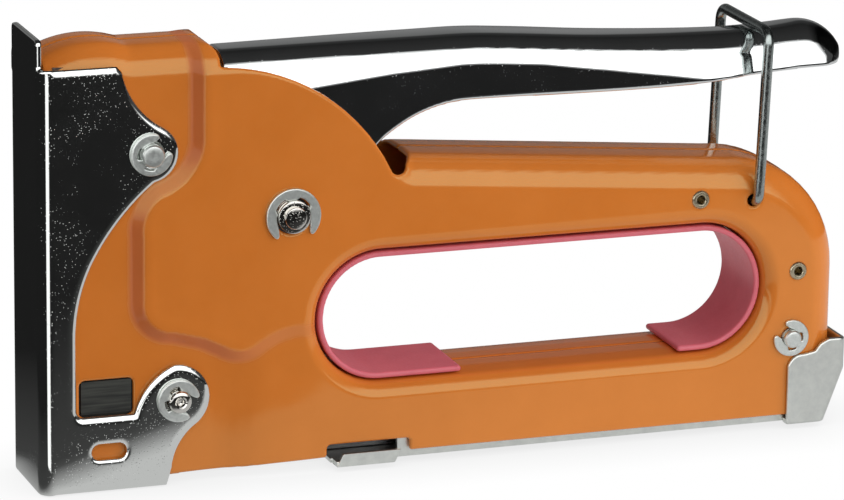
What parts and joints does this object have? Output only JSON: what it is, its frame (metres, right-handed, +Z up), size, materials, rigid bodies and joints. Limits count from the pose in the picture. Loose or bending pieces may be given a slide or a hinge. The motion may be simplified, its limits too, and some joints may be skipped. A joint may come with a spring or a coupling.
{
  "type": "staple gun",
  "caption": "Hand staple gun with pressed steel shells, chromed squeeze lever locked by a wire bail, sprung driver and a slide-out magazine.",
  "frame": {"origin": "under the middle of the gun's bounding box, level with the foot of the nose", "axes": "+X from the nose to the back of the magazine, +Z up towards the lever, -Y the gun's left side"},
  "size_m": [0.1887, 0.0298, 0.1004],
  "materials": {
    "orange_enamel": "gloss enamel",
    "chrome_plate": "polished, lightly pitted",
    "zinc_plate": "zinc plated, satin",
    "spring_steel": "bright drawn wire",
    "dark_steel": "oiled, dark",
    "black_rubber": "matt",
    "pink_plastic": "semi-gloss"
  },
  "bodies": {
    "housing": {"left_shell": "orange_enamel", "right_shell": "orange_enamel", "nose_cover": "chrome_plate", "grip_liner": "pink_plastic", "pivot_pin": "zinc_plate", "pivot_clip": "zinc_plate", "upper_nose_pin": "zinc_plate", "upper_nose_clip": "zinc_plate", "lower_nose_pin": "zinc_plate", "lower_nose_clip": "zinc_plate", "rear_pin": "zinc_plate", "rear_clip": "zinc_plate", "top_rivet": "zinc_plate", "back_rivet": "zinc_plate", "top_rivet_spacer": "zinc_plate", "back_rivet_spacer": "zinc_plate", "pivot_bush": "dark_steel", "return_spring": "spring_steel", "main_spring": "spring_steel", "spring_top_seat": "dark_steel", "bumper": "black_rubber", "nose_insert": "dark_steel"},
    "lever": {"lever": "chrome_plate", "lifter_arm": "dark_steel", "lever_rivets": "zinc_plate"},
    "driver": {"driver_blade": "dark_steel", "hammer_block": "dark_steel", "driver_rivets": "zinc_plate"},
    "bail": {"wire_bail": "spring_steel"},
    "magazine": {"magazine_cover": "zinc_plate", "magazine_end_cap": "zinc_plate", "staple_rail": "dark_steel", "guide_rod": "spring_steel", "rod_nut": "zinc_plate", "follower_spring": "spring_steel"},
    "pusher": {"pusher": "zinc_plate"}
  },
  "joints": [
    {"name": "lever_squeeze", "type": "hinge", "parent": "housing", "child": "lever", "pos_m": [-0.0378, 0, 0.0585], "axis": [0, 1, 0], "range_deg": [0, 8], "stiffness_Nm_per_rad": 6, "springref_deg": -20.05},
    {"name": "driver_slide", "type": "slide", "parent": "housing", "child": "driver", "axis": [0, 0, 1], "range_m": [0, 0.00522], "deforming": ["main_spring"]},
    {"name": "bail_swing", "type": "hinge", "parent": "housing", "child": "bail", "pos_m": [0.0705, 0, 0.0538], "axis": [0, 1, 0], "range_deg": [0, 113]},
    {"name": "magazine_slide", "type": "slide", "parent": "housing", "child": "magazine", "axis": [1, 0, 0], "range_m": [0, 0.1]},
    {"name": "pusher_slide", "type": "slide", "parent": "magazine", "child": "pusher", "axis": [1, 0, 0], "range_m": [0, 0.095], "stiffness_N_per_m": 60, "springref_m": -0.05, "deforming": ["follower_spring"]}
  ],
  "couplings": [
    {"joint": "driver_slide", "follows": "lever_squeeze", "m_per_rad": 0.035971},
    {"joint": "bail_swing", "follows": "lever_squeeze", "ratio": 14}
  ]
}
